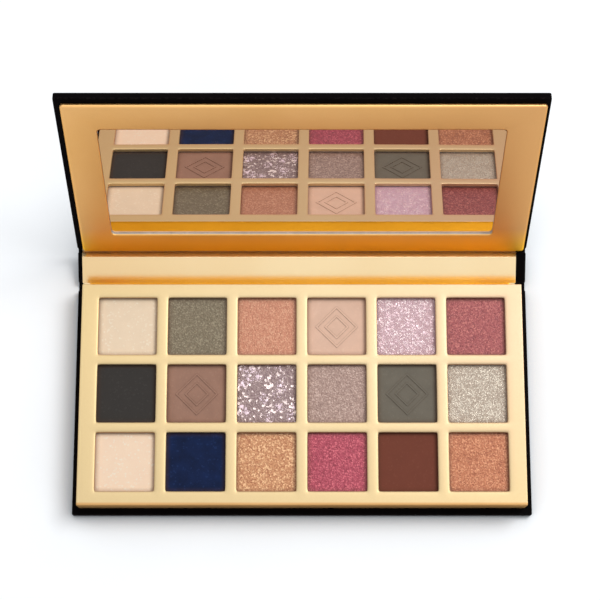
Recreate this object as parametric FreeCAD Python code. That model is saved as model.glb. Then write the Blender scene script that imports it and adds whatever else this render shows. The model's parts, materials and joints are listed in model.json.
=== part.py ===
"""Book-style eyeshadow palette: a paper-wrapped board case with a foil tray and a mirror lid.

Frame: millimetres, +Z up, +X across the width, +Y from the front edge to the spine.
The origin is the centre of the underside of the base board, which rests on the table.
The case stands open: the spine leans back from the base and the lid leans back from the spine.
"""
import FreeCAD
import Part
import math
import os

V = FreeCAD.Vector

# ---- wrapped boards of the case ----
case_w = 163.4            # width of base, spine and lid over the wrap
board_t = 2.3             # greyboard of base and lid
spine_board_t = 1.6       # thinner greyboard of the spine
paper_t = 0.2             # black wrap paper and gold lining paper
turn_in = 12.0            # how far the wrap is folded over the inner face
case_corner_r = 0.6       # corners of the boards, seen from above
case_edge_r = 0.35        # rounding of the wrapped outer edges

# ---- colour grid ----
columns = 6
rows = 3
window = 21.0             # side of each square window
bar_x = 4.0               # gold bar between two windows in a row
bar_y = 3.5               # gold bar between two rows
border_x = 6.2            # tray edge to the first window, left and right
border_y = 4.9            # tray edge to the first window, front and back
window_corner_r = 1.0

# ---- tray ----
tray_h = 9.0              # height of the tray over the base board
window_board_t = 1.2      # die-cut board under the foil
foil_t = 0.2              # gold foil paper
wall_t = 1.5              # greyboard walls of the tray
tray_corner_r = 0.6
foil_edge_r = 0.5         # soft edge that the foil takes over the board
front_margin = 2.4        # black base board that shows in front of the tray

# ---- pans and pressed powder ----
pan_lap = 0.7             # how far the window board laps over the pan on each side
pan_t = 0.3               # tin sheet
pan_depth = 5.0
pan_corner_r = 1.6
pan_bottom_r = 0.6
pan_fit = 0.2             # gap between a pan and its pocket, each side
rim_gap = 0.2             # gap between the pan rim and the window board
powder_drop = 0.35        # powder face under the pan rim
powder_edge_r = 0.3
glue_r = 5.0              # glue dot under each pan
glue_t = 0.4

# ---- pressed motif on three of the powders ----
motif_pans = ((0, 3), (1, 1), (1, 4))     # row from the back, column from the left
motif_half = 7.6          # half diagonal of the outer lozenge
motif_step = 3.2          # from one lozenge to the next one inside
motif_count = 2
motif_line = 0.55         # width of a raised line
motif_rise = 0.18         # height of a raised line

# ---- magnets ----
magnet_x = 52.0           # left and right of the middle
magnet_w = 12.0
magnet_t = 1.4            # thickness of both pairs
magnet_h = 4.0            # height of the pair in the tray
lid_magnet_l = 5.0        # length of the pair in the lid board
magnet_fit = 0.1

# ---- spine joints ----
joint_play = 0.4          # clearance of the closed spine behind the tray
closed_gap = 0.3          # lid frame over tray when closed
lining_shift_x = -1.0     # the gold sheet is glued this far off centre on the spine

# ---- lid frame and mirror ----
frame_w = 160.2
frame_board_t = 1.2
frame_shift_x = 0.5       # the lid frame is glued this far off centre
frame_corner_r = 1.2
frame_edge_r = 0.9        # soft outer edge of the frame
mirror_w = 136.6
mirror_l = 58.1
mirror_from_top = 11.5    # top edge of the lid frame to the mirror
mirror_corner_r = 1.5
mirror_t = 0.35           # thin silvered sheet
mirror_sink = 0.95        # frame face to the mirror at its lower edge
mirror_lean_deg = 0.9     # the mirror leans forward, so its top edge is nearly flush
mirror_fit = 0.1          # gap round the mirror
tape_w = 9.0              # one strip of mirror tape
tape_inset = 8.0          # mirror edge to the tape

# ---- rest pose ----
spine_lean_deg = 23.0     # spine over the table
lid_lean_deg = 68.5       # lid over the table

# ---- sizes that follow ----
case_t = board_t + 2 * paper_t
spine_t = spine_board_t + 2 * paper_t
pitch_x = window + bar_x
pitch_y = window + bar_y
tray_w = columns * window + (columns - 1) * bar_x + 2 * border_x
tray_d = rows * window + (rows - 1) * bar_y + 2 * border_y
case_d = front_margin + tray_d
tray_y = (case_d - tray_d) / 2
tray_top = case_t + tray_h
window_bottom = tray_top - foil_t - window_board_t
pan_side = window + 2 * pan_lap
pan_rim = window_bottom - rim_gap
pan_base = pan_rim - pan_depth
floor_top = pan_base - glue_t
pocket_side = pan_side + 2 * pan_fit
locator_top = pan_rim - rim_gap
powder_side = pan_side - 2 * pan_t
powder_top = pan_rim - powder_drop
frame_t = frame_board_t + foil_t
frame_l = tray_d
closed_h = 2 * case_t + tray_h + closed_gap + frame_t
joint_w = math.sqrt(2) * (spine_t + joint_play)
half_joint = joint_w / 2
pivot_rise = half_joint * (math.sqrt(2) - 1)
lower_pivot = V(0, case_d / 2 + half_joint, pivot_rise)
spine_s = closed_h - 2 * pivot_rise
spine_lean = math.radians(spine_lean_deg)
upper_pivot = lower_pivot + V(0, spine_s * math.cos(spine_lean), spine_s * math.sin(spine_lean))
mirror_top = half_joint + frame_l - mirror_from_top
mirror_mid = mirror_top - mirror_l / 2
mirror_low = mirror_top - mirror_l + mirror_fit
mirror_back = case_t + frame_t - mirror_sink - mirror_t
lining_w = tray_w


def box(x0, x1, y0, y1, z0, z1):
    """Plain block between two corners."""
    return Part.makeBox(x1 - x0, y1 - y0, z1 - z0, V(x0, y0, z0))


def plate(width, y0, y1, z0, z1, corner_r, mid_x=0.0):
    """Block centred on mid_x with its four upright edges rounded."""
    solid = box(mid_x - width / 2, mid_x + width / 2, y0, y1, z0, z1)
    upright = [e for e in solid.Edges if abs(e.tangentAt(e.FirstParameter).z) > 0.99]
    return solid.makeFillet(corner_r, upright)


def square(side, x, y, z0, z1, corner_r):
    """Rounded square block centred on a grid place."""
    return plate(side, y - side / 2, y + side / 2, z0, z1, corner_r, x)


def edges_at(solid, z):
    """Edges that lie wholly at one height."""
    return [e for e in solid.Edges if all(abs(v.Z - z) < 1e-6 for v in e.Vertexes)]


def grid():
    """Row, column and centre of every window, from the back left."""
    places = []
    for row in range(rows):
        for column in range(columns):
            x = (column - (columns - 1) / 2) * pitch_x
            y = tray_y + ((rows - 1) / 2 - row) * pitch_y
            places.append((row, column, x, y))
    return places


def tilt(solid, pivot, angle):
    """Turn a flat-drawn piece about its crease and move the crease to its place."""
    turned = solid.copy()
    turned.translate(V(0, 0, -pivot_rise))
    turned.rotate(V(0, 0, 0), V(1, 0, 0), angle)
    turned.translate(pivot)
    return turned


def on_spine(solid):
    return tilt(solid, lower_pivot, spine_lean_deg)


def on_lid(solid):
    return tilt(solid, upper_pivot, lid_lean_deg)


def on_base(solid):
    """Turn a board that was drawn away from the crease so that it runs to the front."""
    turned = solid.copy()
    turned.rotate(V(0, 0, 0), V(0, 0, 1), 180)
    turned.translate(V(0, lower_pivot.y, 0))
    return turned


def pair(solid, spacing):
    """The same piece on the left and on the right of the middle."""
    left = solid.copy()
    left.translate(V(-spacing, 0, 0))
    right = solid.copy()
    right.translate(V(spacing, 0, 0))
    return [left, right]


# ---- case boards, drawn flat: y is the distance from the crease, z from the outer face ----

def case_board():
    """Greyboard of the base or of the lid."""
    y0 = half_joint + paper_t
    y1 = half_joint + case_d - paper_t
    return plate(case_w - 2 * paper_t, y0, y1, paper_t, paper_t + board_t, case_corner_r)


def case_lining():
    """Sheet between the turned-in borders, folded down over the edge at the crease."""
    half = case_w / 2 - turn_in
    flat = box(-half, half, half_joint, half_joint + case_d - turn_in, case_t - paper_t, case_t)
    fold = box(-lining_w / 2, lining_w / 2, half_joint, half_joint + paper_t, paper_t, case_t - paper_t)
    return flat.fuse(fold).removeSplitter()


def case_wrap():
    """Black paper round a board: outer sheet, edges and turned-in border."""
    y0 = half_joint
    sheet = plate(case_w, y0, y0 + case_d, 0, case_t, case_corner_r)
    rims = edges_at(sheet, 0) + edges_at(sheet, case_t)
    front = [e for e in rims if e.BoundBox.YMax > y0 + case_corner_r + 1e-6]
    sheet = sheet.makeFillet(case_edge_r, front)
    return sheet.cut(case_board()).cut(case_lining())


def spine_board():
    """Narrow greyboard between the two creases."""
    y0 = half_joint + paper_t
    y1 = spine_s - half_joint - paper_t
    return plate(case_w - 2 * paper_t, y0, y1, paper_t, paper_t + spine_board_t, case_corner_r)


def spine_lining():
    """Gold sheet over the inner face of the spine, folded down at both creases."""
    x0 = lining_shift_x - lining_w / 2
    x1 = lining_shift_x + lining_w / 2
    y0 = half_joint
    y1 = spine_s - half_joint
    flat = box(x0, x1, y0, y1, spine_t - paper_t, spine_t)
    low = box(x0, x1, y0, y0 + paper_t, paper_t, spine_t - paper_t)
    high = box(x0, x1, y1 - paper_t, y1, paper_t, spine_t - paper_t)
    return flat.fuse([low, high]).removeSplitter()


def spine_wrap():
    """Black paper round the spine board, open where the lining lies."""
    sheet = plate(case_w, half_joint, spine_s - half_joint, 0, spine_t, case_corner_r)
    return sheet.cut(spine_board()).cut(spine_lining())


def crease(start_y, bend_deg):
    """Wrap and lining glued together, bent in an arc from one board edge to the next."""
    bend = math.radians(bend_deg)
    radius = (half_joint + pivot_rise * math.tan(bend / 2)) / math.tan(bend / 2)

    def arc_point(r, angle):
        return V(-case_w / 2, start_y + r * math.sin(angle), radius - r * math.cos(angle))

    inner_r = radius - 2 * paper_t
    outer = Part.Arc(arc_point(radius, 0), arc_point(radius, bend / 2), arc_point(radius, bend))
    inner = Part.Arc(arc_point(inner_r, bend), arc_point(inner_r, bend / 2), arc_point(inner_r, 0))
    end = Part.LineSegment(arc_point(radius, bend), arc_point(inner_r, bend))
    start = Part.LineSegment(arc_point(inner_r, 0), arc_point(radius, 0))
    wire = Part.Wire([outer.toShape(), end.toShape(), inner.toShape(), start.toShape()])
    return Part.Face(wire).extrude(V(case_w, 0, 0))


# ---- tray ----

def tray_block(inset, z0, z1, corner_r):
    """Rounded block with the outline of the tray, set in on every side."""
    y0 = tray_y - tray_d / 2 + inset
    y1 = tray_y + tray_d / 2 - inset
    return plate(tray_w - 2 * inset, y0, y1, z0, z1, corner_r)


def windows(growth, z0, z1):
    """Solids of all window openings, grown on each side."""
    side = window + 2 * growth
    radius = window_corner_r + growth
    return [square(side, x, y, z0, z1, radius) for row, column, x, y in grid()]


def tray_walls():
    """Greyboard ring under the window board."""
    outer = tray_block(foil_t, case_t, window_bottom, tray_corner_r)
    return outer.cut(tray_block(foil_t + wall_t, case_t, window_bottom, tray_corner_r))


def tray_floor():
    return tray_block(foil_t + wall_t, case_t, floor_top, tray_corner_r)


def window_board():
    """Die-cut board with one opening over each pan."""
    top = tray_top - foil_t
    board = tray_block(foil_t, window_bottom, top, tray_corner_r)
    board = board.cut(windows(foil_t, window_bottom, top))
    return board.makeFillet(foil_edge_r - foil_t, edges_at(board, top))


def tray_foil():
    """Gold paper skin over the tray: top, sides and the walls of the windows."""
    skin = tray_block(0, case_t, tray_top, tray_corner_r)
    skin = skin.cut(windows(0, case_t, tray_top))
    skin = skin.makeFillet(foil_edge_r, edges_at(skin, tray_top))
    skin = skin.cut(tray_block(foil_t, case_t, window_bottom, tray_corner_r))
    return skin.cut(window_board())


def magnet_y():
    """Middle of the tray magnets, which lie against the front wall."""
    return tray_y - tray_d / 2 + foil_t + wall_t + magnet_fit + magnet_t / 2


def tray_magnet(growth):
    """One bar magnet, or its pocket when grown."""
    half_w = magnet_w / 2 + growth
    half_t = magnet_t / 2 + growth
    y = magnet_y()
    z0 = floor_top
    return box(-half_w, half_w, y - half_t, y + half_t, z0, z0 + magnet_h + growth)


def pan_locator():
    """Thick board with a pocket for each pan and one for each magnet."""
    board = tray_block(foil_t + wall_t, floor_top, locator_top, tray_corner_r)
    pocket_r = pan_corner_r + pan_fit
    pockets = [square(pocket_side, x, y, floor_top, locator_top, pocket_r) for row, column, x, y in grid()]
    return board.cut(pockets).cut(pair(tray_magnet(magnet_fit), magnet_x))


# ---- pans and powders ----

def pan(x, y):
    """Pressed tin pan, open at the top."""
    outer = square(pan_side, x, y, pan_base, pan_rim, pan_corner_r)
    outer = outer.makeFillet(pan_bottom_r, edges_at(outer, pan_base))
    return outer.cut(pan_inside(x, y, pan_rim))


def pan_inside(x, y, top):
    """Space inside a pan up to a height."""
    low = pan_base + pan_t
    inside = square(powder_side, x, y, low, top, pan_corner_r - pan_t)
    return inside.makeFillet(pan_bottom_r - pan_t, edges_at(inside, low))


def lozenge(half, x, y, z0, z1):
    """Upright prism on a square that stands on its corner."""
    corners = [V(x + half, y, z0), V(x, y + half, z0), V(x - half, y, z0), V(x, y - half, z0)]
    outline = Part.makePolygon(corners + corners[:1])
    return Part.Face(outline).extrude(V(0, 0, z1 - z0))


def motif(x, y):
    """Nested lozenge lines that stand up from the powder."""
    z0 = powder_top - motif_rise
    z1 = powder_top + motif_rise
    lines = []
    for index in range(motif_count):
        half = motif_half - index * motif_step
        inner_half = half - motif_line * math.sqrt(2)
        lines.append(lozenge(half, x, y, z0, z1).cut(lozenge(inner_half, x, y, z0, z1)))
    return lines


def powder(row, column, x, y):
    """Pressed powder that fills the pan."""
    cake = pan_inside(x, y, powder_top)
    cake = cake.makeFillet(powder_edge_r, edges_at(cake, powder_top))
    if (row, column) in motif_pans:
        cake = cake.fuse(motif(x, y)).removeSplitter()
    return cake


def glue_dots():
    """One round glue dot under each pan."""
    return [Part.makeCylinder(glue_r, glue_t, V(x, y, floor_top)) for row, column, x, y in grid()]


# ---- lid, drawn flat like the boards ----

def lid_magnet(growth):
    """One flat bar magnet sunk in the lid board, over its partner in the tray when closed."""
    half_w = magnet_w / 2 + growth
    half_l = lid_magnet_l / 2 + growth
    y = lower_pivot.y - magnet_y()
    z1 = paper_t + board_t
    return box(-half_w, half_w, y - half_l, y + half_l, z1 - magnet_t - growth, z1)


def frame_block(inset, z1, corner_r):
    """Outline of the lid frame, set in on every side."""
    y0 = half_joint + inset
    y1 = half_joint + frame_l - inset
    return plate(frame_w - 2 * inset, y0, y1, case_t, z1, corner_r, frame_shift_x)


def mirror_block(inset, z0, z1):
    """Outline of the mirror opening, set in on every side."""
    y0 = mirror_top - mirror_l + inset
    y1 = mirror_top - inset
    return plate(mirror_w - 2 * inset, y0, y1, z0, z1, mirror_corner_r)


def lid_frame_board():
    """Die-cut board round the mirror."""
    board = frame_block(foil_t, case_t + frame_board_t, frame_corner_r)
    board = board.cut(mirror_block(0, case_t, case_t + frame_board_t))
    top = [e for e in edges_at(board, case_t + frame_board_t) if on_outline(e)]
    return board.makeFillet(frame_edge_r - foil_t, top)


def on_outline(edge):
    """True for an edge outside the mirror opening."""
    low = mirror_top - mirror_l
    middle = edge.BoundBox.Center
    return abs(middle.x) > mirror_w / 2 + 1e-6 or not low - 1e-6 < middle.y < mirror_top + 1e-6


def lid_frame_foil():
    """Gold paper over the face and the outer edges of the frame."""
    skin = frame_block(0, case_t + frame_t, frame_corner_r)
    skin = skin.makeFillet(frame_edge_r, edges_at(skin, case_t + frame_t))
    skin = skin.cut(mirror_block(0, case_t, case_t + frame_t))
    return skin.cut(lid_frame_board())


def leaned(solid):
    """Turn a piece forward about the back of the mirror's lower edge."""
    turned = solid.copy()
    turned.rotate(V(0, mirror_low, mirror_back), V(1, 0, 0), mirror_lean_deg)
    return turned


def mirror():
    """Silvered sheet that leans in the opening of the frame."""
    return leaned(mirror_block(mirror_fit, mirror_back, mirror_back + mirror_t))


def mirror_tape():
    """Two strips of foam tape, squeezed to fill the wedge behind the leaning mirror."""
    strips = []
    half = mirror_w / 2 - tape_inset
    room = leaned(mirror_block(0, mirror_back, mirror_back + 2 * frame_t))
    for side in (-1, 1):
        y = mirror_mid + side * (mirror_l / 2 - tape_inset - tape_w / 2)
        strip = box(-half, half, y - tape_w / 2, y + tape_w / 2, case_t, case_t + frame_t)
        strips.append(strip.cut(room))
    return strips


def write(node, shape):
    """Write one node; a list becomes one compound of separate solids."""
    if isinstance(shape, list):
        shape = Part.makeCompound(shape)
    shape.exportStep(f"parts/{node}.step")
    print(f"{node:18s} {len(shape.Solids):3d} solids {shape.Volume:12.1f} mm3")


def main():
    os.makedirs("parts", exist_ok=True)
    write("base_board", on_base(case_board()))
    write("base_wrap", on_base(case_wrap()))
    write("base_lining", on_base(case_lining()))
    write("tray_floor", tray_floor())
    write("tray_walls", tray_walls())
    write("window_board", window_board())
    write("tray_foil", tray_foil())
    write("pan_locator", pan_locator())
    write("tray_magnets", pair(tray_magnet(0), magnet_x))
    write("pan_glue", glue_dots())
    for row, column, x, y in grid():
        write(f"pan_r{row + 1}c{column + 1}", pan(x, y))
        write(f"powder_r{row + 1}c{column + 1}", powder(row, column, x, y))
    write("lower_crease", crease(case_d / 2, spine_lean_deg))
    write("spine_board", on_spine(spine_board()))
    write("spine_wrap", on_spine(spine_wrap()))
    write("spine_lining", on_spine(spine_lining()))
    write("upper_crease", on_spine(crease(spine_s - half_joint, lid_lean_deg - spine_lean_deg)))
    board = case_board().cut(pair(lid_magnet(magnet_fit), magnet_x))
    write("lid_board", on_lid(board))
    write("lid_magnets", [on_lid(bar) for bar in pair(lid_magnet(0), magnet_x)])
    write("lid_wrap", on_lid(case_wrap()))
    write("lid_lining", on_lid(case_lining()))
    write("lid_frame_board", on_lid(lid_frame_board()))
    write("lid_frame_foil", on_lid(lid_frame_foil()))
    write("mirror", on_lid(mirror()))
    write("mirror_tape", [on_lid(strip) for strip in mirror_tape()])
    print(f"closed case {case_w:.1f} x {case_d:.1f} x {closed_h:.1f} mm")
    print(f"lower crease at y {lower_pivot.y:.3f}, z {lower_pivot.z:.3f} mm")
    print(f"upper crease at y {upper_pivot.y:.3f}, z {upper_pivot.z:.3f} mm")


main()
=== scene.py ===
# %% [markdown]
# This lesson dresses a book-style eyeshadow palette: a black paper-wrapped case that opens like a
# book, a gold foil tray with eighteen square windows, pressed powders in tin pans, and a mirror in
# the lid. The solid parts arrive already built, in metres and in their right places. Everything
# here either gives one of them its real surface, or replaces it with a softer, finer piece.

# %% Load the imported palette
import json
import math
import random
import bmesh
import bpy
from mathutils import Matrix, Vector, noise


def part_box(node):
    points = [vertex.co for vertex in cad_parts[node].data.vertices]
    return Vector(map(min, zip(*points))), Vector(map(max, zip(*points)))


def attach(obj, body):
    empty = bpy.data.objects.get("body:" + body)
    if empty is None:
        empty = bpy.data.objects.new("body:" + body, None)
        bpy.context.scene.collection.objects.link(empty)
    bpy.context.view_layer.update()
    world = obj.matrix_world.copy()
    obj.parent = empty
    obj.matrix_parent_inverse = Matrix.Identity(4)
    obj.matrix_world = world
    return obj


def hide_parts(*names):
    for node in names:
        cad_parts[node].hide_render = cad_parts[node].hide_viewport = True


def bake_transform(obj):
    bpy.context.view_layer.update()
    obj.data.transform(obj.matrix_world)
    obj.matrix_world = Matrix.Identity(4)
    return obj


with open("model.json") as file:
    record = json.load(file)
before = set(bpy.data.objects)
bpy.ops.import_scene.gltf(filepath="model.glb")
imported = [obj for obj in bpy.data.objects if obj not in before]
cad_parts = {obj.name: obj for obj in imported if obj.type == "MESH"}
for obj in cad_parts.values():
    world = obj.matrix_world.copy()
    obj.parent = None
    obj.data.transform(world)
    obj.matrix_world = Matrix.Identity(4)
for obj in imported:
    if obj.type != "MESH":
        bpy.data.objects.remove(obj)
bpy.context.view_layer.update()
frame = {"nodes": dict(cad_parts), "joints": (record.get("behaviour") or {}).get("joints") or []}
MM = 0.001
MM_PER_METRE = 1000

# %% [markdown]
# The two hinges of the case are the strips of paper between the boards. Each hinge's lowest angle
# lays the case flat, so that angle is also how far the spine and the lid lean now. Pieces of the
# spine and the lid are drawn flat, with y as the distance from the crease and z as the height over
# the outer paper, and one matrix then folds them up into place. Half of each joint's width follows
# from the height of the crease, because the paper has to go round a square corner when it closes.

# %% Read the creases
spine_hinge, lid_hinge = frame["joints"]
lower_crease = Vector(spine_hinge["pos_m"])
upper_crease = Vector(lid_hinge["pos_m"])
spine_lean = math.radians(-spine_hinge["range_deg"][0])
lid_lean = spine_lean + math.radians(-lid_hinge["range_deg"][0])
crease_rise = lower_crease.z
half_joint = crease_rise / (math.sqrt(2) - 1)
up_spine = Vector((0, math.cos(spine_lean), math.sin(spine_lean)))


def folded_up(crease, lean):
    """The matrix that folds a flat-drawn piece up about its crease."""
    down = Matrix.Translation((0, 0, -crease_rise))
    return Matrix.Translation(crease) @ Matrix.Rotation(lean, 4, "X") @ down


spine_place = folded_up(lower_crease, spine_lean)
lid_place = folded_up(upper_crease, lid_lean)
print("spine leans", round(math.degrees(spine_lean), 1), "lid leans", round(math.degrees(lid_lean), 1))

# %% [markdown]
# A camera is a place, a tilt and a lens. A long lens far away keeps the square windows square, as
# in a catalogue picture. It stands in front of the tray and looks almost straight down, so the
# mirror in the lid shows the back of the powders.

# %% Set up the camera
camera_tilt_deg = 13.489
camera_data = bpy.data.cameras.new("catalogue_camera")
camera_data.sensor_width = 36
camera_data.lens = 107.13
camera = bpy.data.objects.new("catalogue_camera", camera_data)
camera.location = (-0.68 * MM, -114.7 * MM, 636.7 * MM)
camera.rotation_euler = (math.radians(camera_tilt_deg), 0, 0)
bpy.context.scene.collection.objects.link(camera)
bpy.context.scene.camera = camera
bpy.context.scene.view_settings.view_transform = "Standard"
print("lens", camera_data.lens, "tilt", camera_tilt_deg)

# %% [markdown]
# Helpers keep the materials short. The first of them adds one shader node, sets its choices, and
# fills its sockets with either a number or a link. Colours are written as they look on a screen,
# from 0 to 255, and turned into the light values that a shader works with.


# %% Node helpers
def colour(red, green, blue):
    """A screen colour from 0 to 255 as the light values of a shader."""
    parts = [value / 255 for value in (red, green, blue)]
    light = [v / 12.92 if v <= 0.04045 else ((v + 0.055) / 1.055) ** 2.4 for v in parts]
    return (*light, 1.0)


def new_finish(name):
    """An empty material, its node tree and its main shader."""
    material = bpy.data.materials.new(name)
    material.use_nodes = True
    tree = material.node_tree
    return material, tree, tree.nodes["Principled BSDF"]


def add(tree, kind, inputs=None, **choices):
    """Add one node; each input is a number, a colour or another node's socket."""
    made = tree.nodes.new("ShaderNode" + kind)
    for choice, value in choices.items():
        setattr(made, choice, value)
    for socket, value in (inputs or {}).items():
        feed(tree, value, made.inputs[socket])
    return made


def feed(tree, value, socket):
    """Link a socket, or set its number."""
    if isinstance(value, bpy.types.NodeSocket):
        tree.links.new(value, socket)
    else:
        socket.default_value = value


def calc(tree, operation, *values):
    """One step of arithmetic on numbers or sockets."""
    return add(tree, "Math", dict(enumerate(values)), operation=operation).outputs[0]


print("white", colour(255, 255, 255)[:3])

# %% [markdown]
# Every finish is made from a few patterns that lie in the coordinates of its own piece, so they move
# with it. Blobs are sized in millimetres. A pattern can turn into a colour, into a number for any
# socket, or into a relief with a real depth.


# %% Pattern helpers
def place_in(tree, stretch=(1, 1, 1), source="Object"):
    """Coordinates of the piece itself, stretched for a pattern."""
    coordinates = add(tree, "TexCoord").outputs[source]
    return add(tree, "Mapping", {"Vector": coordinates, "Scale": stretch}).outputs[0]


def cloudy(tree, place, size_mm, detail=3.0, roughness=0.55, distortion=0.0):
    """Soft noise whose blobs are about size_mm across."""
    made = add(tree, "TexNoise", {"Vector": place, "Scale": MM_PER_METRE / size_mm, "Detail": detail,
                                  "Roughness": roughness, "Distortion": distortion})
    return made.outputs["Fac"]


def distance_along(tree, direction):
    """How far each point of the piece lies along a direction."""
    spot = add(tree, "TexCoord").outputs["Object"]
    return add(tree, "VectorMath", {0: spot, 1: direction}, operation="DOT_PRODUCT").outputs["Value"]


def fade(tree, factor, first, second, start=0.3, end=0.7):
    """Colour that goes from first to second as a pattern rises from start to end."""
    made = add(tree, "ValToRGB", {"Fac": factor})
    stops = made.color_ramp.elements
    stops[0].position, stops[0].color = start, first
    stops[1].position, stops[1].color = end, second
    return made.outputs["Color"]


def level(tree, factor, low, high, start=0.3, end=0.7):
    """Number that goes from low to high as a pattern rises from start to end."""
    sockets = {"Value": factor, "From Min": start, "From Max": end, "To Min": low, "To Max": high}
    return add(tree, "MapRange", sockets).outputs["Result"]


def mixed(tree, factor, first, second):
    """Two colours mixed by a factor."""
    return add(tree, "Mix", {0: factor, 6: first, 7: second}, data_type="RGBA").outputs[2]


def relief(tree, height, depth_mm, normal=None):
    """Bump of a real depth, on top of another bump. A height in metres is one metre deep."""
    inputs = {"Height": height, "Distance": depth_mm * MM, "Strength": 1.0}
    if normal is not None:
        inputs["Normal"] = normal
    return add(tree, "Bump", inputs).outputs["Normal"]


print("helpers", cloudy.__name__, fade.__name__, level.__name__, relief.__name__)

# %% [markdown]
# The light is an even room and two soft panels, which together light the powders at about the level
# where a colour looks as it is written. The key panel, up at the back right, gives every window a
# bright side and a shaded side. The weak panel overhead is what the gold tray mirrors towards the
# camera, so the tray looks pale from above and deeper gold from any other side.

# %% Even room light
world = bpy.data.worlds.new("studio_room")
bpy.context.scene.world = world
world.use_nodes = True
room = world.node_tree
room.nodes.clear()


def seen_directly(tree):
    """1 for rays that come from the camera, from gloss or through glass, else 0."""
    path = add(tree, "LightPath").outputs
    either = calc(tree, "MAXIMUM", path["Is Camera Ray"], path["Is Glossy Ray"])
    return calc(tree, "MAXIMUM", either, path["Is Transmission Ray"])


lighting = add(room, "Background", {"Color": (0.97, 0.98, 1.0, 1.0), "Strength": 0.35})
backdrop = add(room, "Background", {"Color": (1, 1, 1, 1), "Strength": 1.0})
pick = add(room, "MixShader", {0: seen_directly(room), 1: lighting.outputs[0], 2: backdrop.outputs[0]})
add(room, "OutputWorld", {"Surface": pick.outputs[0]})
print("room light", lighting.inputs["Strength"].default_value)


# %% Two soft panels
def soft_panel(name, place, size, watts, tint):
    """A square area lamp that faces the middle of the tray."""
    data = bpy.data.lights.new(name, "AREA")
    data.shape = "SQUARE"
    data.size = size
    data.energy = watts
    data.color = tint
    lamp = bpy.data.objects.new(name, data)
    lamp.location = place
    lamp.rotation_euler = Vector(place).to_track_quat("Z", "Y").to_euler()
    bpy.context.scene.collection.objects.link(lamp)
    return lamp


key = soft_panel("key_panel", (0.78, 0.52, 1.25), 0.7, 14.0, (1.0, 0.995, 0.985))
overhead = soft_panel("overhead_panel", (-0.12, 0.36, 1.24), 1.0, 2.7, (1.0, 1.0, 1.0))
print("panels", key.data.energy, overhead.data.energy, "W")

# %% [markdown]
# The floor is a pale sweep of board. Seen straight on it has to be white, but the light it throws
# on the palette must stay plain, so a little glow is added only for rays that look at it directly.
# The glow fades close to the palette, where less of the sky is open, and the shadow darkens it.

# %% Finish of the floor
floor_finish, floor_tree, floor_shader = new_finish("pale_floor")
floor_shader.inputs["Roughness"].default_value = 0.9
floor_shader.inputs["Specular IOR Level"].default_value = 0.1
floor_place = place_in(floor_tree)
floor_grain = cloudy(floor_tree, floor_place, 60)
feed(floor_tree, fade(floor_tree, floor_grain, colour(237, 241, 245), colour(241, 245, 249)),
     floor_shader.inputs["Base Color"])
floor_sky = add(floor_tree, "AmbientOcclusion", {"Distance": 30 * MM}, samples=8).outputs["AO"]
open_glow = level(floor_tree, floor_sky, 0, 0.27, 0.6, 0.97)
glow = calc(floor_tree, "MULTIPLY", seen_directly(floor_tree), open_glow)
feed(floor_tree, (1, 1, 1, 1), floor_shader.inputs["Emission Color"])
feed(floor_tree, glow, floor_shader.inputs["Emission Strength"])
print("finish", floor_finish.name)

# %% Lay the floor
floor_half_side = 3.0
floor_drop = 0.02 * MM
floor_mesh = bmesh.new()
bmesh.ops.create_grid(floor_mesh, x_segments=4, y_segments=4, size=floor_half_side)
bmesh.ops.translate(floor_mesh, verts=floor_mesh.verts, vec=(0, 0, -floor_drop))
floor_data = bpy.data.meshes.new("floor")
floor_mesh.to_mesh(floor_data)
floor_mesh.free()
floor_data.materials.append(floor_finish)
floor = bpy.data.objects.new("floor", floor_data)
bpy.context.scene.collection.objects.link(floor)
print("floor", len(floor_data.polygons), "faces")

# %% [markdown]
# Greyboard is pressed from waste paper: grey-brown, with short dark and pale fibres. It only shows
# at cut edges, but it is inside every wrapped board. The frame of the mirror is cut from a paler card.


# %% Greyboard
def make_greyboard(name, dark, light):
    """Patches of two greys, with short fibres over them."""
    material, tree, shader = new_finish(name)
    place = place_in(tree)
    fibres = cloudy(tree, place_in(tree, (1, 4, 4)), 0.8, 6, 0.7)
    patches = cloudy(tree, place, 6)
    base = fade(tree, patches, dark, light)
    flecked = mixed(tree, level(tree, fibres, 0, 0.5, 0.55, 0.7), base, colour(110, 100, 92))
    feed(tree, flecked, shader.inputs["Base Color"])
    feed(tree, level(tree, fibres, 0.8, 0.95), shader.inputs["Roughness"])
    feed(tree, relief(tree, fibres, 0.05), shader.inputs["Normal"])
    return material


greyboard = make_greyboard("greyboard", colour(158, 148, 136), colour(178, 168, 155))
frame_card = make_greyboard("frame_card", colour(196, 184, 172), colour(214, 202, 190))
print("finishes", greyboard.name, frame_card.name)

# %% [markdown]
# The case is wrapped in black matt paper. It is never one flat black: the paper has a fine grain,
# the black is a little warm, and where it is folded over the edges the coating wears thin. That paler
# edge is also a painted highlight, for the light that the folds catch. The edge mask compares the
# true normal with one rounded by half a millimetre, and they only differ close to an edge.


# %% Black wrap paper
def edge_wear_and_highlight(tree, radius_mm, place):
    """1 on the sharp edges of a piece, broken up by noise, and 0 on its flats."""
    rounded = add(tree, "Bevel", {"Radius": radius_mm * MM}, samples=4).outputs["Normal"]
    plain = add(tree, "NewGeometry").outputs["Normal"]
    same = add(tree, "VectorMath", {0: rounded, 1: plain}, operation="DOT_PRODUCT").outputs["Value"]
    edge = level(tree, same, 1, 0, 0.86, 0.99)
    broken = level(tree, cloudy(tree, place, 1.4, 5, 0.7), 0, 1, 0.45, 0.62)
    return calc(tree, "MULTIPLY", edge, broken)


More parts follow.
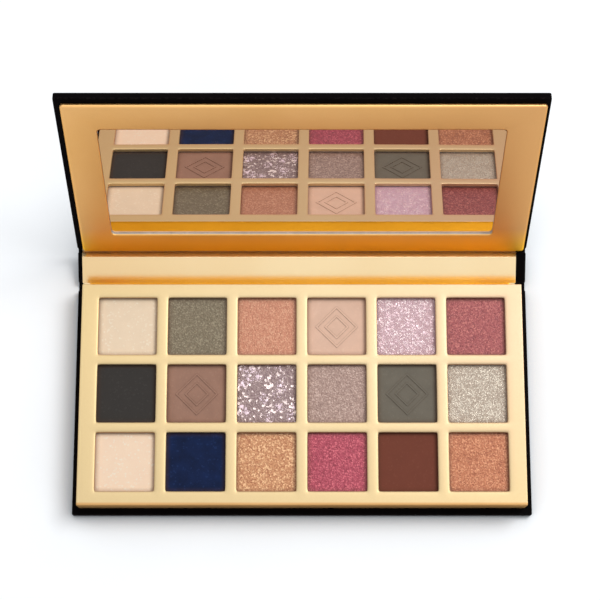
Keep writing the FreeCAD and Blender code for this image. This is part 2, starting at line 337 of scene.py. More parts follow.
def make_black_paper(name, source="Object", wear_and_highlight=True):
    """Warm black paper, paler at its folds where it has any: wear and a painted highlight."""
    material, tree, shader = new_finish(name)
    place = place_in(tree, source=source)
    patches = cloudy(tree, place, 14, 4)
    grain = cloudy(tree, place, 0.35, 4, 0.6)
    base = fade(tree, patches, colour(7, 5, 6), colour(12, 9, 10))
    # Paler edges: wear, and a painted highlight where the folds catch the light.
    if wear_and_highlight:
        base = mixed(tree, edge_wear_and_highlight(tree, 0.5, place), base, colour(50, 42, 42))
    feed(tree, base, shader.inputs["Base Color"])
    feed(tree, level(tree, grain, 0.48, 0.66), shader.inputs["Roughness"])
    shader.inputs["Specular IOR Level"].default_value = 0.015
    feed(tree, relief(tree, grain, 0.018), shader.inputs["Normal"])
    return material


black_paper = make_black_paper("black_paper")
print("finish", black_paper.name)

# %% [markdown]
# The tray, the spine and the frame of the mirror are covered in gold laminated paper. It is a thin
# metal film on paper, so it shines like metal but never sharply: the paper's fibres break the
# reflection up, and the film is pulled in very shallow waves where it was glued down. Each gold has
# its own colour for a low angle, where the film looks browner.


# %% Gold paper helpers
def make_gold_paper(name, pale, deep, metal, gloss, low_angle, source="Object"):
    """Film on paper: two colours, how metallic and how rough it is, and its low-angle colour."""
    material, tree, shader = new_finish(name)
    place = place_in(tree, source=source)
    waves = cloudy(tree, place, 22, 2, 0.4)
    fibres = cloudy(tree, place, 0.5, 5, 0.65)
    feed(tree, fade(tree, waves, pale, deep), shader.inputs["Base Color"])
    shader.inputs["Metallic"].default_value = metal
    shader.inputs["Specular Tint"].default_value = low_angle
    feed(tree, level(tree, fibres, gloss - 0.04, gloss + 0.06), shader.inputs["Roughness"])
    shallow = relief(tree, waves, 0.05)
    feed(tree, relief(tree, fibres, 0.003, shallow), shader.inputs["Normal"])
    return material


def paint_shade_and_reflection(material, direction, start, end, near):
    """Paint shade and reflection by fading a gold paper into another gold across a stretch."""
    tree = material.node_tree
    shader = tree.nodes["Principled BSDF"]
    old = shader.inputs["Base Color"].links[0].from_socket
    share = level(tree, distance_along(tree, direction), 1, 0, start, end)
    feed(tree, mixed(tree, share, old, near), shader.inputs["Base Color"])


def turn_down(material, outward, end, width, steep):
    """Let a paper turn down at a slope over the last millimetres before one end, as a relief."""
    tree = material.node_tree
    shader = tree.nodes["Principled BSDF"]
    old = shader.inputs["Normal"].links[0].from_socket
    past = calc(tree, "SUBTRACT", distance_along(tree, outward), end - width)
    height = calc(tree, "MULTIPLY", calc(tree, "MAXIMUM", past, 0.0), -steep)
    feed(tree, relief(tree, height, MM_PER_METRE, old), shader.inputs["Normal"])


print("helpers", make_gold_paper.__name__, paint_shade_and_reflection.__name__, turn_down.__name__)

# %% [markdown]
# One film looks pale where it mirrors the panel overhead and deep orange where it only sees other
# gold, so the tray's top, its back wall, its other walls and the frame of the mirror each get their
# own gold: painted reflection and painted shade on one and the same film. None of them has one shade
# all over. Painted shade and painted reflection fade each one into a deeper gold towards the sides,
# the front or the foot. The lining of the spine also turns down at both of its ends, where it
# follows the creases.

# %% Gold papers
lining_look = (colour(252, 228, 182), colour(249, 222, 174), 0.9, 0.2, (1, 0.6, 0.2, 1))
gold_lining = make_gold_paper("gold_lining", *lining_look)
spine_gold = make_gold_paper("spine_gold", *lining_look)
tray_gold = make_gold_paper(
    "tray_gold", colour(209, 191, 153), colour(205, 185, 146), 0.8, 0.5, (1, 0, 0, 1))
tray_gold.node_tree.nodes["Principled BSDF"].inputs["Specular IOR Level"].default_value = 0
# Painted reflection and painted shade: the back wall's deep orange gold and the darker gold of the other
# outer walls.
shaded_back_foil = make_gold_paper(
    "shaded_back_foil", colour(203, 164, 56), colour(195, 156, 51), 1.0, 0.32, (1, 0.6, 0.3, 1))
shaded_wall_foil = make_gold_paper(
    "shaded_wall_foil", colour(188, 148, 98), colour(180, 140, 90), 0.85, 0.4, (1, 0.7, 0.4, 1))
frame_foil = make_gold_paper(
    "frame_foil", colour(234, 184, 120), colour(229, 178, 112), 1.0, 0.42, (1, 0.7, 0.35, 1))
# Painted shade darkens the frame towards its right end, and a painted reflection of the gold below turns its
# foot a stronger orange gold.
paint_shade_and_reflection(frame_foil, (1, 0, 0), 78 * MM, 30 * MM, colour(216, 165, 108))
paint_shade_and_reflection(frame_foil, (0, 0, 1), 9 * MM, 22 * MM, colour(255, 197, 52))
turn_down(spine_gold, up_spine, upper_crease.dot(up_spine) - half_joint, 1.7 * MM, 0.6)
turn_down(spine_gold, -up_spine, -lower_crease.dot(up_spine) - half_joint, 1.2 * MM, 0.06)
# Painted shade darkens the spine's lining towards its left end.
paint_shade_and_reflection(spine_gold, (1, 0, 0), -80 * MM, 0, colour(240, 208, 158))
# Painted shade darkens the tray's gold towards its left end, its right end and its front.
paint_shade_and_reflection(tray_gold, (1, 0, 0), -80 * MM, 0, colour(204, 182, 136))
paint_shade_and_reflection(tray_gold, (1, 0, 0), 80 * MM, 10 * MM, colour(204, 178, 147))
paint_shade_and_reflection(tray_gold, (0, 1, 0), -40 * MM, 20 * MM, colour(197, 176, 134))
print("finishes", tray_gold.name, shaded_back_foil.name, shaded_wall_foil.name, frame_foil.name, spine_gold.name)

# %% [markdown]
# Tin pans, bar magnets, glue dots and double-sided tape hardly show, but they are there when the
# palette is taken apart, so each gets its own surface: rolled tin with fine lines along the sheet,
# nickel plate with small scratches, milky hot glue and white paper tape.


# %% Tin, nickel, glue and tape
def make_streaked(name, streaks, dark, light, gloss, depth_mm, metal=0.0):
    """A finish with one pattern: its stretch, its size in millimetres, its detail and roughness."""
    material, tree, shader = new_finish(name)
    stretch, size_mm, detail, roughness = streaks
    pattern = cloudy(tree, place_in(tree, stretch), size_mm, detail, roughness)
    feed(tree, fade(tree, pattern, dark, light), shader.inputs["Base Color"])
    shader.inputs["Metallic"].default_value = metal
    feed(tree, level(tree, pattern, *gloss), shader.inputs["Roughness"])
    feed(tree, relief(tree, pattern, depth_mm), shader.inputs["Normal"])
    return material


tin = make_streaked("tin_plate", ((1, 14, 14), 3.0, 5, 0.6), colour(196, 194, 190),
                    colour(214, 212, 208), (0.24, 0.4), 0.01, metal=0.95)
nickel = make_streaked("nickel_plate", ((2, 30, 30), 2.0, 4, 0.7), colour(150, 148, 144),
                       colour(176, 174, 170), (0.2, 0.38), 0.01, metal=1.0)
glue = make_streaked("hot_glue", ((1, 1, 1), 2.2, 3, 0.55), colour(226, 218, 200),
                     colour(238, 232, 218), (0.25, 0.4), 0.1)
glue_shader = glue.node_tree.nodes["Principled BSDF"]
glue_shader.inputs["Subsurface Weight"].default_value = 0.3
glue_shader.inputs["Subsurface Scale"].default_value = 0.4 * MM
tape = make_streaked("paper_tape", ((6, 1, 1), 1.6, 4, 0.55), colour(222, 220, 214),
                     colour(238, 236, 230), (0.7, 0.85), 0.03)
print("finishes", tin.name, nickel.name, glue.name, tape.name)

# %% [markdown]
# The mirror is a thin silvered sheet, only taped along two edges, so it is never quite flat: it
# bows by a few tenths of a millimetre and enlarges the powders at its sides a little. That bow is a
# slow height over the whole sheet: a circle of a given radius in metres across, and two small
# slopes. A faint haze keeps it from giving back quite all of the light.


# %% Mirror silver
mirror_bow = 4.4
mirror_yaw = 0.0061
mirror_tip = 0.0095


def make_silver():
    """Silver whose relief tips and bows the whole sheet."""
    material, tree, shader = new_finish("mirror_silver")
    haze = cloudy(tree, place_in(tree), 9, 6, 0.7)
    feed(tree, fade(tree, haze, colour(244, 233, 226), colour(246, 235, 229)), shader.inputs["Base Color"])
    shader.inputs["Metallic"].default_value = 1.0
    feed(tree, level(tree, haze, 0.0, 0.035, 0.4, 0.8), shader.inputs["Roughness"])
    spot = add(tree, "SeparateXYZ", {0: add(tree, "TexCoord").outputs["Object"]})
    across, up = spot.outputs["X"], spot.outputs["Z"]
    slope = calc(tree, "MULTIPLY_ADD", across, 0.5 / mirror_bow, mirror_yaw)
    bowed = calc(tree, "MULTIPLY", across, slope)
    tipped = calc(tree, "MULTIPLY_ADD", up, mirror_tip, bowed)
    feed(tree, relief(tree, tipped, MM_PER_METRE), shader.inputs["Normal"])
    return material


silver = make_silver()
print("finish", silver.name)

# %% [markdown]
# Pressed powder comes in three kinds. Matte powder is chalky, with a faint bloom and a few tiny
# bright specks. A dark line runs round each pan where the window's wall keeps the light away.
# Shimmer holds mica: tiny flat grains that each catch the light at their own angle, lying in
# ripples left by the press. Glitter has flakes large enough to see one by one. All three are built
# from the same few patterns, at different sizes and strengths.


# %% Matte powder
def mica(tree, place, size_mm):
    """Small grains: a random value for each one, and the height of its middle."""
    grains = add(tree, "TexVoronoi", {"Vector": place, "Scale": MM_PER_METRE / size_mm}, feature="F1")
    value = add(tree, "SeparateColor", {0: grains.outputs["Color"]}).outputs[0]
    return value, grains.outputs["Distance"]


def shaded_rim(tree, base):
    """The base colour, darker in the narrow corner under the window's wall."""
    open_sky = add(tree, "AmbientOcclusion", {"Distance": 2.0 * MM}, samples=8).outputs["AO"]
    return mixed(tree, level(tree, open_sky, 0.52, 0, 0.45, 0.95), base, colour(80, 56, 40))


def make_matte(name, main, speck, bloom_share=0.03, speck_share=0.2):
    """Chalk of one colour, with bloom, grain and specks."""
    material, tree, shader = new_finish(name)
    place = place_in(tree)
    bloom = cloudy(tree, place, 5, 4, 0.5)
    grain = cloudy(tree, place, 0.28, 5, 0.7)
    dark = tuple((1 - bloom_share) * v for v in main[:3]) + (1,)
    light = tuple(min(1.0, (1 + bloom_share) * v) for v in main[:3]) + (1,)
    base = fade(tree, bloom, dark, light)
    flecked = mixed(tree, level(tree, grain, 0, 0.5, 0.60, 0.72), base, speck)
    dots, _ = mica(tree, place, 0.55)
    specked = mixed(tree, level(tree, dots, 0, speck_share, 0.88, 0.96), flecked, speck)
    feed(tree, shaded_rim(tree, specked), shader.inputs["Base Color"])
    feed(tree, level(tree, grain, 0.78, 0.95), shader.inputs["Roughness"])
    shader.inputs["Specular IOR Level"].default_value = 0.2
    shader.inputs["Sheen Weight"].default_value = 0.05
    chalk = relief(tree, bloom, 0.04)
    feed(tree, relief(tree, grain, 0.03, chalk), shader.inputs["Normal"])
    return material


print("helpers", mica.__name__, shaded_rim.__name__, make_matte.__name__)


# %% Shimmer powder
def make_shimmer(name, dark, main, light, ripple_mm=0.9, grain_mm=0.42, combed=(1, 1, 1)):
    """Mica grains over ripples; combed stretches the ripples one way."""
    material, tree, shader = new_finish(name)
    place = place_in(tree)
    ripples = cloudy(tree, place_in(tree, combed), ripple_mm, 3, 0.6, 0.6)
    value, height = mica(tree, place, grain_mm)
    patches = cloudy(tree, place, 7, 3)
    base = fade(tree, ripples, dark, main, 0.28, 0.52)
    dull = mixed(tree, level(tree, value, 0.8, 0, 0.0, 0.3), base, dark)
    bright = mixed(tree, level(tree, value, 0, 1, 0.66, 0.95), dull, light)
    shaded = mixed(tree, level(tree, patches, 0, 0.2), bright, main)
    feed(tree, shaded_rim(tree, shaded), shader.inputs["Base Color"])
    shader.inputs["Metallic"].default_value = 0.35
    feed(tree, level(tree, value, 0.32, 0.6, 0, 1), shader.inputs["Roughness"])
    rippled = relief(tree, ripples, 0.16)
    feed(tree, relief(tree, height, 0.05, rippled), shader.inputs["Normal"])
    return material


print("helper", make_shimmer.__name__)


# %% Glitter powder
def make_glitter(name, dark, main, light, flake_mm, share):
    """Flakes over fine grains; share says how much of the pan they cover."""
    material, tree, shader = new_finish(name)
    place = place_in(tree)
    clusters = cloudy(tree, place, 2.6, 3, 0.6)
    value, height = mica(tree, place, flake_mm)
    fine, fine_height = mica(tree, place, flake_mm * 0.45)
    chance = calc(tree, "ADD", value, clusters)
    base = fade(tree, fine, dark, main, 0.2, 0.9)
    flakes = level(tree, chance, 0, 1, 1.5 - share, 1.58 - share)
    feed(tree, shaded_rim(tree, mixed(tree, flakes, base, light)), shader.inputs["Base Color"])
    shader.inputs["Metallic"].default_value = 0.4
    feed(tree, level(tree, flakes, 0.5, 0.25, 0, 1), shader.inputs["Roughness"])
    rough = relief(tree, fine_height, 0.08)
    feed(tree, relief(tree, height, 0.12, rough), shader.inputs["Normal"])
    return material


print("helper", make_glitter.__name__)

# %% [markdown]
# One entry for each pan, from the back left to the front right. A matte powder has its own colour
# and that of its specks. The three colours of a shimmer or a glitter are its grains in shade, its
# body and its grains in the light. The pink glitter holds a lilac pearl that shows at a low angle,
# as a sheen.

# %% Eighteen powders
powders = {
    "r1c1": make_matte("cream_matte", colour(241, 219, 191), colour(255, 246, 228), 0.025, 0.4),
    "r1c2": make_shimmer("olive_shimmer", colour(92, 82, 62), colour(114, 102, 82), colour(148, 138, 116)),
    "r1c3": make_shimmer("peach_shimmer", colour(159, 101, 77), colour(183, 125, 99),
                         colour(209, 159, 131), combed=(1, 0.45, 1)),
    "r1c4": make_matte("rose_beige_matte", colour(226, 189, 167), colour(240, 210, 190), 0.04),
    "r1c5": make_glitter("pink_glitter", colour(168, 140, 136), colour(192, 167, 163),
                         colour(216, 200, 196), 0.5, 0.26),
    "r1c6": make_shimmer("rosewood_shimmer", colour(108, 45, 50), colour(146, 74, 75), colour(190, 118, 112)),
    "r2c1": make_matte("charcoal_matte", colour(56, 53, 51), colour(76, 73, 71)),
    "r2c2": make_matte("mauve_matte", colour(159, 122, 105), colour(177, 142, 124), 0.06),
    "r2c3": make_glitter("slate_glitter", colour(129, 106, 108), colour(159, 139, 136),
                         colour(245, 226, 223), 0.8, 0.12),
    "r2c4": make_shimmer("taupe_shimmer", colour(122, 96, 88), colour(157, 131, 121), colour(196, 171, 160)),
    "r2c5": make_matte("grey_green_matte", colour(112, 106, 95), colour(132, 125, 113), 0.06),
    "r2c6": make_glitter("champagne_glitter", colour(167, 151, 135), colour(185, 171, 157),
                         colour(202, 191, 175), 0.4, 0.42),
    "r3c1": make_matte("peach_cream_matte", colour(255, 225, 197), colour(255, 252, 238), 0.02, 0.4),
    "r3c2": make_matte("navy_matte", colour(12, 29, 65), colour(34, 58, 108), 0.35, 0.3),
    "r3c3": make_shimmer("copper_shimmer", colour(143, 82, 50), colour(191, 137, 97),
                         colour(239, 196, 151), 0.7, 0.46),
    "r3c4": make_shimmer("raspberry_shimmer", colour(118, 32, 50), colour(161, 63, 81),
                         colour(208, 108, 120)),
    "r3c5": make_matte("red_brown_matte", colour(116, 63, 49), colour(138, 83, 66)),
    "r3c6": make_shimmer("coral_shimmer", colour(132, 70, 44), colour(174, 108, 75), colour(218, 156, 120)),
}
pearl = powders["r1c5"].node_tree.nodes["Principled BSDF"]
pearl.inputs["Sheen Weight"].default_value = 0.95
pearl.inputs["Sheen Roughness"].default_value = 0.8
pearl.inputs["Sheen Tint"].default_value = (1, 0.62, 0.92, 1)
print("powders", len(powders))

# %% [markdown]
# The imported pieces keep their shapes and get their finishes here. Powders and pans are named by
# row and column.


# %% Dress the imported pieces
def dress(node, material):
    """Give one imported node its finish."""
    mesh = frame["nodes"][node].data
    mesh.materials.clear()
    mesh.materials.append(material)


for node in ("base_board", "spine_board", "lid_board", "tray_floor", "tray_walls", "window_board",
             "pan_locator"):
    dress(node, greyboard)
dress("lid_frame_board", frame_card)
for node in ("base_wrap", "spine_wrap", "lid_wrap", "lower_crease", "upper_crease"):
    dress(node, black_paper)
for node in ("base_lining", "lid_lining"):
    dress(node, gold_lining)
dress("spine_lining", spine_gold)
dress("tray_foil", tray_gold)
dress("lid_frame_foil", frame_foil)
for node in ("tray_magnets", "lid_magnets"):
    dress(node, nickel)
dress("pan_glue", glue)
dress("mirror_tape", tape)
dress("mirror", silver)
for pan, powder in powders.items():
    dress("pan_" + pan, tin)
    dress("powder_" + pan, powder)
print("dressed", len(frame["nodes"]), "nodes")

# %% [markdown]
# Helpers for new pieces: one makes an object from a bmesh and gives it a finish, and the
# others read sizes from the imported nodes and draw grids, so that every new piece fits them.


# %% Piece helpers
def build(name, mesh, material, slot_name, smooth=True):
    """Turn a bmesh into an object with one finish."""
    data = bpy.data.meshes.new(name)
    mesh.to_mesh(data)
    mesh.free()
    data.materials.append(material)
    for face in data.polygons:
        face.use_smooth = smooth
    piece = bpy.data.objects.new(name, data)
    bpy.context.scene.collection.objects.link(piece)
    return piece


def middle_of(node, axis):
    """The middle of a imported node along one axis."""
    low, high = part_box(node)
    return (low[axis] + high[axis]) / 2


def stretched_grid(mesh, across, along, height):
    """A grid whose lines stand at the given x and y."""
    columns, rows = len(across) - 1, len(along) - 1
    made = bmesh.ops.create_grid(mesh, x_segments=columns, y_segments=rows, size=1)["verts"]
    for vert in made:
        column = round((vert.co.x + 1) / 2 * columns)
        row = round((vert.co.y + 1) / 2 * rows)
        vert.co = (across[column], along[row], height)
    return made


tray_low, tray_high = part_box("tray_foil")
print("tray in mm", [round(v / MM, 1) for v in tray_high - tray_low])

# %% [markdown]
# The foil tray is the piece that everyone sees. Its paper is folded over the edge of every window
# and pulled down into it, so the bars between the windows are slightly pillowed: flat in the
# middle, sloping towards the windows, and soft at the fold. Each window shows 21 mm of powder, and
# the last millimetre of the paper before it sinks by a little. A grid with lines beside every edge
# and corner is the simplest start, because a subdivision surface later rounds each fold by as much
# as the nearest lines allow.

# %% Lines of the window grid
window = 21.0 * MM
slope = 1.0 * MM
sink = 0.16 * MM
outer_fold = 0.4 * MM
corner_line = 1.1 * MM
touching = 0.001 * MM
card_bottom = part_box("window_board")[0].z
centres_x = [middle_of(f"pan_r1c{column}", 0) for column in range(1, 7)]
centres_y = [middle_of(f"pan_r{row}c1", 1) for row in range(1, 4)]


def grid_lines(centres, low, high, half, inset):
    """Lines for the outline, the windows, the slopes beside them and the soft corners."""
    found = [low + inset, low + inset + outer_fold, high - inset - outer_fold, high - inset]
    for centre in centres:
        for side in (-1, 1):
            found += [centre + side * (half + grow) for grow in (slope, 0, -corner_line)]
    return sorted(found)


print("windows", len(centres_x), "by", len(centres_y))


# %% Sheet with eighteen windows
def on_outline(edge, inset):
    """True for an edge on the outside of the tray."""
    return all(
        min(abs(v.co.x - tray_low.x - inset), abs(v.co.x - tray_high.x + inset),
            abs(v.co.y - tray_low.y - inset), abs(v.co.y - tray_high.y + inset)) < touching
        for v in edge.verts)


def window_sheet(mesh, inset):
    """The top sheet with eighteen holes, set in from the foil's own faces."""
    half = window / 2 + inset
    across = grid_lines(centres_x, tray_low.x, tray_high.x, half, inset)
    along = grid_lines(centres_y, tray_low.y, tray_high.y, half, inset)
    stretched_grid(mesh, across, along, tray_high.z - inset)

    def hole_at(point):
        """True inside a window."""
        return any(abs(point.x - x) < half - touching for x in centres_x) and any(
            abs(point.y - y) < half - touching for y in centres_y)

    holes = [face for face in mesh.faces if hole_at(face.calc_center_median())]
    bmesh.ops.delete(mesh, geom=holes, context="FACES")
    rims = [e for e in mesh.edges if e.is_boundary and not on_outline(e, inset)]
    outline = [e for e in mesh.edges if e.is_boundary and on_outline(e, inset)]
    for vert in {v for e in rims for v in e.verts}:
        vert.co.z -= sink
    return rims, outline


print("helpers", on_outline.__name__, window_sheet.__name__)


# %% Folding helpers
def push_down(mesh, edges, heights):
    """Extrude open edges down to each height in turn."""
    for height in heights:
        grown = bmesh.ops.extrude_edge_only(mesh, edges=edges)["geom"]
        edges = [g for g in grown if isinstance(g, bmesh.types.BMEdge) and g.is_boundary]
        for vert in {v for e in edges for v in e.verts}:
            vert.co.z = height


def face_upwards(mesh):
    """Make all normals agree, with the large faces looking up."""
    bmesh.ops.recalc_face_normals(mesh, faces=mesh.faces)
    if sum(face.normal.z * face.calc_area() for face in mesh.faces) < 0:
        bmesh.ops.reverse_faces(mesh, faces=mesh.faces)


print("helpers", push_down.__name__, face_upwards.__name__)

# %% [markdown]
# The window faces are deleted, and the edges of the holes and of the outline are pushed down as
# walls. Two more lines on every wall keep its foot and its fold in shape.

# %% Foil tray
paper = 0.2 * MM
window_fold = 0.45 * MM
hem_line = 0.1 * MM
foot_line = 1.0 * MM
foil = bmesh.new()
rims, outline = window_sheet(foil, 0)
push_down(foil, rims, [tray_high.z - sink - window_fold, card_bottom + hem_line, card_bottom])
push_down(foil, outline, [tray_high.z - outer_fold, tray_low.z + foot_line, tray_low.z])
face_upwards(foil)
foil_tray = build("foil_tray", foil, tray_gold, "gold_foil")
print("foil tray", len(foil_tray.data.polygons), "faces before softening")

# %% [markdown]
# The outer walls get their own golds by the place of each face, as painted reflection and painted
# shade. The back wall's deep orange paints the gold of the spine that it sees. The darker gold of the
# side walls and of the front wall, which takes the front fold with it, paints their shade. Then the
# sheet gets its thickness, inwards, and its soft folds.

# %% Walls, thickness and soft folds of the foil
side_band = 0.1 * MM
front_band = 0.3 * MM
foil_tray.data.materials.append(shaded_back_foil)
foil_tray.data.materials.append(shaded_wall_foil)
back_slot, wall_slot = 1, 2
for face in foil_tray.data.polygons:
    if face.center.y > tray_high.y - side_band:
        face.material_index = back_slot
    elif face.center.y < tray_low.y + front_band or abs(face.center.x) > tray_high.x - side_band:
        face.material_index = wall_slot
skin = foil_tray.modifiers.new("paper", "SOLIDIFY")
skin.thickness = paper
skin.offset = -1
skin.use_even_offset = True
soft = foil_tray.modifiers.new("soft_folds", "SUBSURF")
soft.levels = soft.render_levels = 2
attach(foil_tray, "base")
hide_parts("tray_foil")
print("foil tray softened", soft.levels, "times")

# %% [markdown]
# Under the foil lies the die-cut card that gives the bars their strength. It is the same sheet
# again, one paper thickness further in, and pushed down as a whole to its real thickness.

# %% Window card
card_inset = 0.21 * MM
card = bmesh.new()
window_sheet(card, card_inset)
grown = bmesh.ops.extrude_face_region(card, geom=list(card.faces))["geom"]
for vert in [g for g in grown if isinstance(g, bmesh.types.BMVert)]:
    vert.co.z = card_bottom
bmesh.ops.recalc_face_normals(card, faces=card.faces)
window_card = build("window_card", card, greyboard, "greyboard", smooth=False)
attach(window_card, "base")
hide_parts("window_board")
print("window card", len(window_card.data.polygons), "faces")

# %% [markdown]
# The frame of the mirror is a board covered with gold foil. The foil turns softly over the outer
# edge, and at the opening it is rolled over the cut card, so a thin bright rim runs round the
# mirror. It is made from rounded outlines, one inside the other, that are bridged in turn.


# %% Outlines with rounded corners
corner_steps = 8


def flat_corners(node, place):
    """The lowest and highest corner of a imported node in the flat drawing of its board."""
    flattened = [place.inverted() @ vert.co for vert in frame["nodes"][node].data.vertices]
    return [Vector(pick(p[axis] for p in flattened) for axis in range(3)) for pick in (min, max)]


def rounded_outline(mesh, low, high, grow, corner, height):
    """A closed loop of vertices round a rectangle with rounded corners."""
    loop = []
    turns = [(high.x, high.y, 0), (low.x, high.y, 90), (low.x, low.y, 180), (high.x, low.y, 270)]
    for x, y, start in turns:
        towards_x = 1 if x > (low.x + high.x) / 2 else -1
        towards_y = 1 if y > (low.y + high.y) / 2 else -1
        middle = Vector((x + towards_x * (grow - corner), y + towards_y * (grow - corner), height))
        for step in range(corner_steps + 1):
            angle = math.radians(start + 90 * step / corner_steps)
            loop.append(mesh.verts.new(middle + corner * Vector((math.cos(angle), math.sin(angle), 0))))
    return loop


def join_outlines(mesh, first, second):
    """One ring of faces between two outlines."""
    for here in range(len(first)):
        after = (here + 1) % len(first)
        mesh.faces.new((first[here], first[after], second[after], second[here]))


print("helpers", flat_corners.__name__, rounded_outline.__name__, join_outlines.__name__)

# %% Gold face of the mirror frame
edge_radius, edge_steps = 0.9 * MM, 8
rim_radius, rim_steps = 0.34 * MM, 6
frame_corner, opening_corner = 1.2 * MM, 1.5 * MM
mirror_gap = Vector((0.1 * MM, 0.1 * MM, 0))
rim_reach = 0.03 * MM
face_foil = 0.15 * MM
frame_low, frame_high = flat_corners("lid_frame_foil", lid_place)
glass_low, glass_high = flat_corners("mirror", lid_place)
opening = (glass_low - mirror_gap, glass_high + mirror_gap)
top = frame_high.z
gold_face = bmesh.new()
outlines = [rounded_outline(gold_face, frame_low, frame_high, 0, frame_corner, frame_low.z)]
for step in range(edge_steps + 1):
    turn = math.radians(90 * step / edge_steps)
    inward = edge_radius * (1 - math.cos(turn))
    height = top - edge_radius * (1 - math.sin(turn))
    corner = frame_corner - inward
    outlines.append(rounded_outline(gold_face, frame_low, frame_high, -inward, corner, height))
for step in range(rim_steps + 1):
    turn = math.radians(90 * step / rim_steps)
    outward = rim_radius * (1 - math.sin(turn)) - rim_reach
    height = top - rim_radius * (1 - math.cos(turn))
    outlines.append(rounded_outline(gold_face, *opening, outward, opening_corner + outward, height))
for first, second in zip(outlines, outlines[1:]):
    join_outlines(gold_face, first, second)
face_upwards(gold_face)
bmesh.ops.solidify(gold_face, geom=list(gold_face.faces), thickness=face_foil)
bmesh.ops.transform(gold_face, matrix=lid_place, verts=gold_face.verts)
frame_face = build("frame_face", gold_face, frame_foil, "gold_foil")
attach(frame_face, "lid")
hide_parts("lid_frame_foil")
print("frame face", len(frame_face.data.polygons), "faces")

# %% [markdown]
# Two of the pans hold loose-looking flakes that are large enough to see. Each flake is a thin
# six-sided plate with its own size, turn and tilt. They lie in clusters: a noise field says where
# flakes are likely, and a place is only used where the field is high.


# %% Finish of the flakes
def make_flake(name, shade, shine):
    """One tone for each plate, from its attribute, with a fine sheen."""
    material, tree, shader = new_finish(name)
    tone = add(tree, "Attribute", attribute_name="tone", attribute_type="GEOMETRY").outputs["Fac"]
    sheen = cloudy(tree, place_in(tree), 0.25, 3)
    feed(tree, fade(tree, tone, shade, shine, 0.0, 0.8), shader.inputs["Base Color"])
    shader.inputs["Metallic"].default_value = 0.35
    feed(tree, level(tree, sheen, 0.25, 0.45), shader.inputs["Roughness"])
    feed(tree, relief(tree, sheen, 0.01), shader.inputs["Normal"])
    return material


rose_flake = make_flake("rose_flake", colour(190, 166, 176), colour(238, 216, 226))
pink_flake = make_flake("pink_flake", colour(206, 174, 181), colour(232, 206, 213))
print("finishes", rose_flake.name, pink_flake.name)

# %% Scatter the flakes
flake_margin = 0.5 * MM
flake_thick = 0.05 * MM
flake_rise = 0.02 * MM
flake_tilt = 0.16


def scatter_flakes(pan, batches, spread_mm, material, seed):
    """Plates on one powder. A batch is a count, the radii in mm and how high the field must be."""
    chance = random.Random(seed)
    low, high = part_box("powder_" + pan)
    middle = (low + high) / 2
    reach = window / 2 - flake_margin
    plates = bmesh.new()
    tone = plates.loops.layers.float_color.new("tone")
    for count, smallest, largest, likely in batches:
        placed = 0
        while placed < count:
            x, y = chance.uniform(-reach, reach), chance.uniform(-reach, reach)
            field = noise.noise(Vector((x, y, seed * MM)) / (spread_mm * MM))
            if field < likely:
                continue
            placed += 1
            radius = chance.uniform(smallest, largest) * MM
            turn = Matrix.Rotation(chance.uniform(0, math.tau), 4, "Z")
            tilt = Matrix.Rotation(chance.gauss(0, flake_tilt), 4, "X")
            shape = Matrix.Diagonal((1, chance.uniform(0.5, 1.0), 1, 1))
            spot = Matrix.Translation((middle.x + x, middle.y + y, high.z + flake_rise))
            known = len(plates.faces)
            bmesh.ops.create_cone(plates, cap_ends=True, segments=6, radius1=radius,
                                  radius2=0.85 * radius, depth=flake_thick,
                                  matrix=spot @ turn @ tilt @ shape)
            plates.faces.ensure_lookup_table()
            shade = chance.random()
            for face in plates.faces[known:]:
                for loop in face.loops:
                    loop[tone] = (shade, shade, shade, 1)
    flakes = build("flakes_" + pan, plates, material, "powder_" + pan, smooth=False)
    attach(flakes, "base")
    print(flakes.name, len(flakes.data.polygons), "faces")


rose_batches = [(46, 0.35, 0.75, 0.2), (220, 0.15, 0.34, 0.1), (420, 0.07, 0.16, -0.15)]
pink_batches = [(60, 0.3, 0.5, 0.05), (420, 0.14, 0.3, -0.1), (700, 0.07, 0.15, -0.4)]
scatter_flakes("r2c3", rose_batches, 4.2, rose_flake, seed=7)
scatter_flakes("r1c5", pink_batches, 2.6, pink_flake, seed=11)

# %% [markdown]
# Between the boards only paper is left: black wrap outside and gold lining inside, bent in an
# arc. Each strip starts as one line of edges along the crease and is spun about the middle of its
# arc. The wrap carries on as a short tongue under the wrap of each board, so that no gap shows.


# %% Crease strips
tongue = 0.5 * MM
tuck = 0.03 * MM
strip_cuts, arc_steps = 60, 12
merge_distance = 1e-7
wrap_ends = [corner.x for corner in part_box("spine_wrap")]
lining_ends = [corner.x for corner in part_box("spine_lining")]


def add_tongue(strip, end, step):
    """Carry the paper on by one step, under the board's own paper."""
    rim = [edge for edge in strip.edges
           if edge.is_boundary and all(abs(v.co.y - end) < merge_distance for v in edge.verts)]
    grown = bmesh.ops.extrude_edge_only(strip, edges=rim)["geom"]
    for vert in [g for g in grown if isinstance(g, bmesh.types.BMVert)]:
        vert.co += step
    print("tongue of", len(rim), "edges")


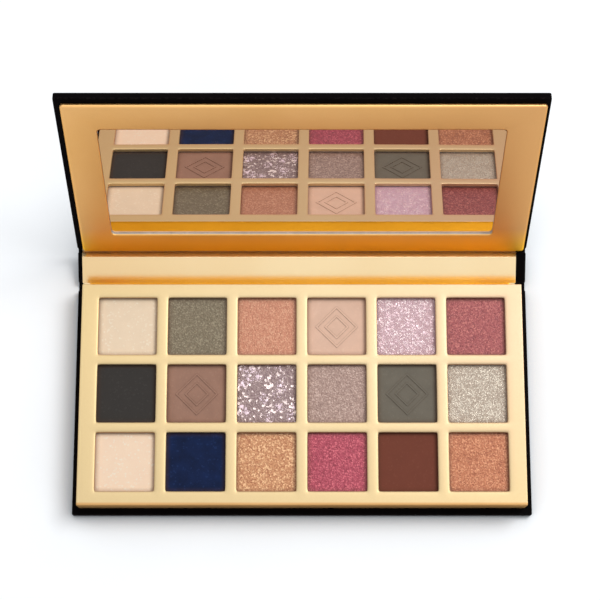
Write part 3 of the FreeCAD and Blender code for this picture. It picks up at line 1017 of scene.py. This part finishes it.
def crease_strip(name, sides, layer, bend, start, place, material, slot_name):
    """One paper strip in an arc; layer 0 is the outer paper and 1 the lining on it."""
    radius = crease_rise + half_joint / math.tan(bend / 2)
    height = layer * paper
    strip = bmesh.new()
    ends = [strip.verts.new((x, start, height)) for x in sides]
    line = strip.edges.new(ends)
    bmesh.ops.subdivide_edges(strip, edges=[line], cuts=strip_cuts)
    bmesh.ops.spin(strip, geom=list(strip.verts) + list(strip.edges), cent=(0, start, radius),
                   axis=(1, 0, 0), angle=bend, steps=arc_steps)
    bmesh.ops.remove_doubles(strip, verts=strip.verts, dist=merge_distance)
    if layer == 0:
        bent_step = Matrix.Rotation(bend, 3, "X") @ Vector((0, tongue, tuck))
        add_tongue(strip, start, Vector((0, -tongue, tuck)))
        add_tongue(strip, start + radius * math.sin(bend), bent_step)
    bmesh.ops.recalc_face_normals(strip, faces=strip.faces)
    if next(iter(strip.faces)).normal.z > 0:
        bmesh.ops.reverse_faces(strip, faces=strip.faces)
    bmesh.ops.solidify(strip, geom=list(strip.faces), thickness=paper)
    bmesh.ops.recalc_face_normals(strip, faces=strip.faces)
    across = strip.loops.layers.uv.new("UVMap")
    for face in strip.faces:
        for loop in face.loops:
            loop[across].uv = (loop.vert.co.x, loop.vert.co.y)
    bmesh.ops.transform(strip, matrix=place, verts=strip.verts)
    return build(name, strip, material, slot_name)


print("helpers", add_tongue.__name__, crease_strip.__name__)

# %% [markdown]
# The lower lining mirrors the back wall of the tray. The upper one lies in a fold that no light
# reaches straight, so its gold is duller.

# %% Two creases
crease_black = make_black_paper("crease_black", "UV", wear_and_highlight=False)
crease_gold = make_gold_paper("crease_gold", *lining_look, "UV")
upper_gold = make_gold_paper(
    "upper_crease_gold", colour(252, 224, 180), colour(249, 218, 172), 0.35, 0.4, (1, 0.6, 0.2, 1), "UV")
spine_end = (upper_crease - lower_crease).length
flat = Matrix.Translation((0, lower_crease.y, 0))
creases = {
    "lower": ("base", "spine", spine_lean, -half_joint, flat, lower_crease, crease_gold),
    "upper": ("spine", "lid", lid_lean - spine_lean, spine_end - half_joint, spine_place,
              upper_crease, upper_gold),
}
for side, (first, second, bend, start, place, pivot, lining) in creases.items():
    name = side + "_crease"
    outer = crease_strip(name + "_wrap", wrap_ends, 0, bend, start, place, crease_black, "crease_paper")
    inner = crease_strip(name + "_lining", lining_ends, 1, bend, start, place, lining, "gold_lining")
    for strip in (outer, inner):
        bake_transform(strip)
    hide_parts(name)
    print(name, len(outer.data.polygons), "faces")
